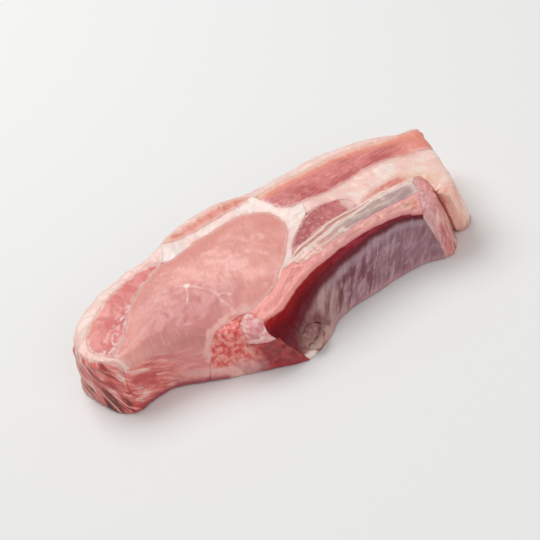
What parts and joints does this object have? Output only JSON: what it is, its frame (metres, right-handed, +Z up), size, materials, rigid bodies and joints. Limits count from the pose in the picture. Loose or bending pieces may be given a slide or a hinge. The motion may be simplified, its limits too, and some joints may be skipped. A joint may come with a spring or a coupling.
{
  "type": "pork rib chop",
  "caption": "Raw bone-in pork rib chop: pale loin eye ringed with white fat, a streaky belly end, a blue-grey rib along a dark curved wall and a red sawn chine corner.",
  "frame": {"origin": "middle of the bounding box, on the surface the chop lies on", "axes": "+X from the loin end towards the cut belly end, +Y from the rib side towards the back fat, +Z up through the thickness"},
  "size_m": [0.158, 0.0866, 0.0255],
  "materials": {
    "pale_lean": "moist pale pink loin muscle with fine fibres",
    "red_lean": "moist red muscle, marbled",
    "dark_lean": "moist dark red muscle in coarse strands",
    "rib_lining": "wet membrane over dark muscle, pink at the rim",
    "fat": "smooth white pork fat",
    "gristle": "moist cream gristle",
    "rib_bone": "damp blue-grey bone",
    "cartilage": "wet cream cartilage",
    "marrow_bone": "wet red sawn bone, spongy"
  },
  "bodies": {
    "root": {"loin_eye": "pale_lean", "end_lean": "pale_lean", "cap_lean": "red_lean", "strip_lean": "red_lean", "belly_lean": "red_lean", "strand_lean": "red_lean", "flap_lean": "red_lean", "side_lean": "dark_lean", "inner_lean": "dark_lean", "rib_lean": "rib_lining", "back_fat": "fat", "seam_fat": "fat", "flap_fat": "fat", "gristle_band": "gristle", "chine_gristle": "gristle", "rib_bone": "rib_bone", "rib_head": "cartilage", "chine_bone": "marrow_bone"}
  },
  "joints": []
}
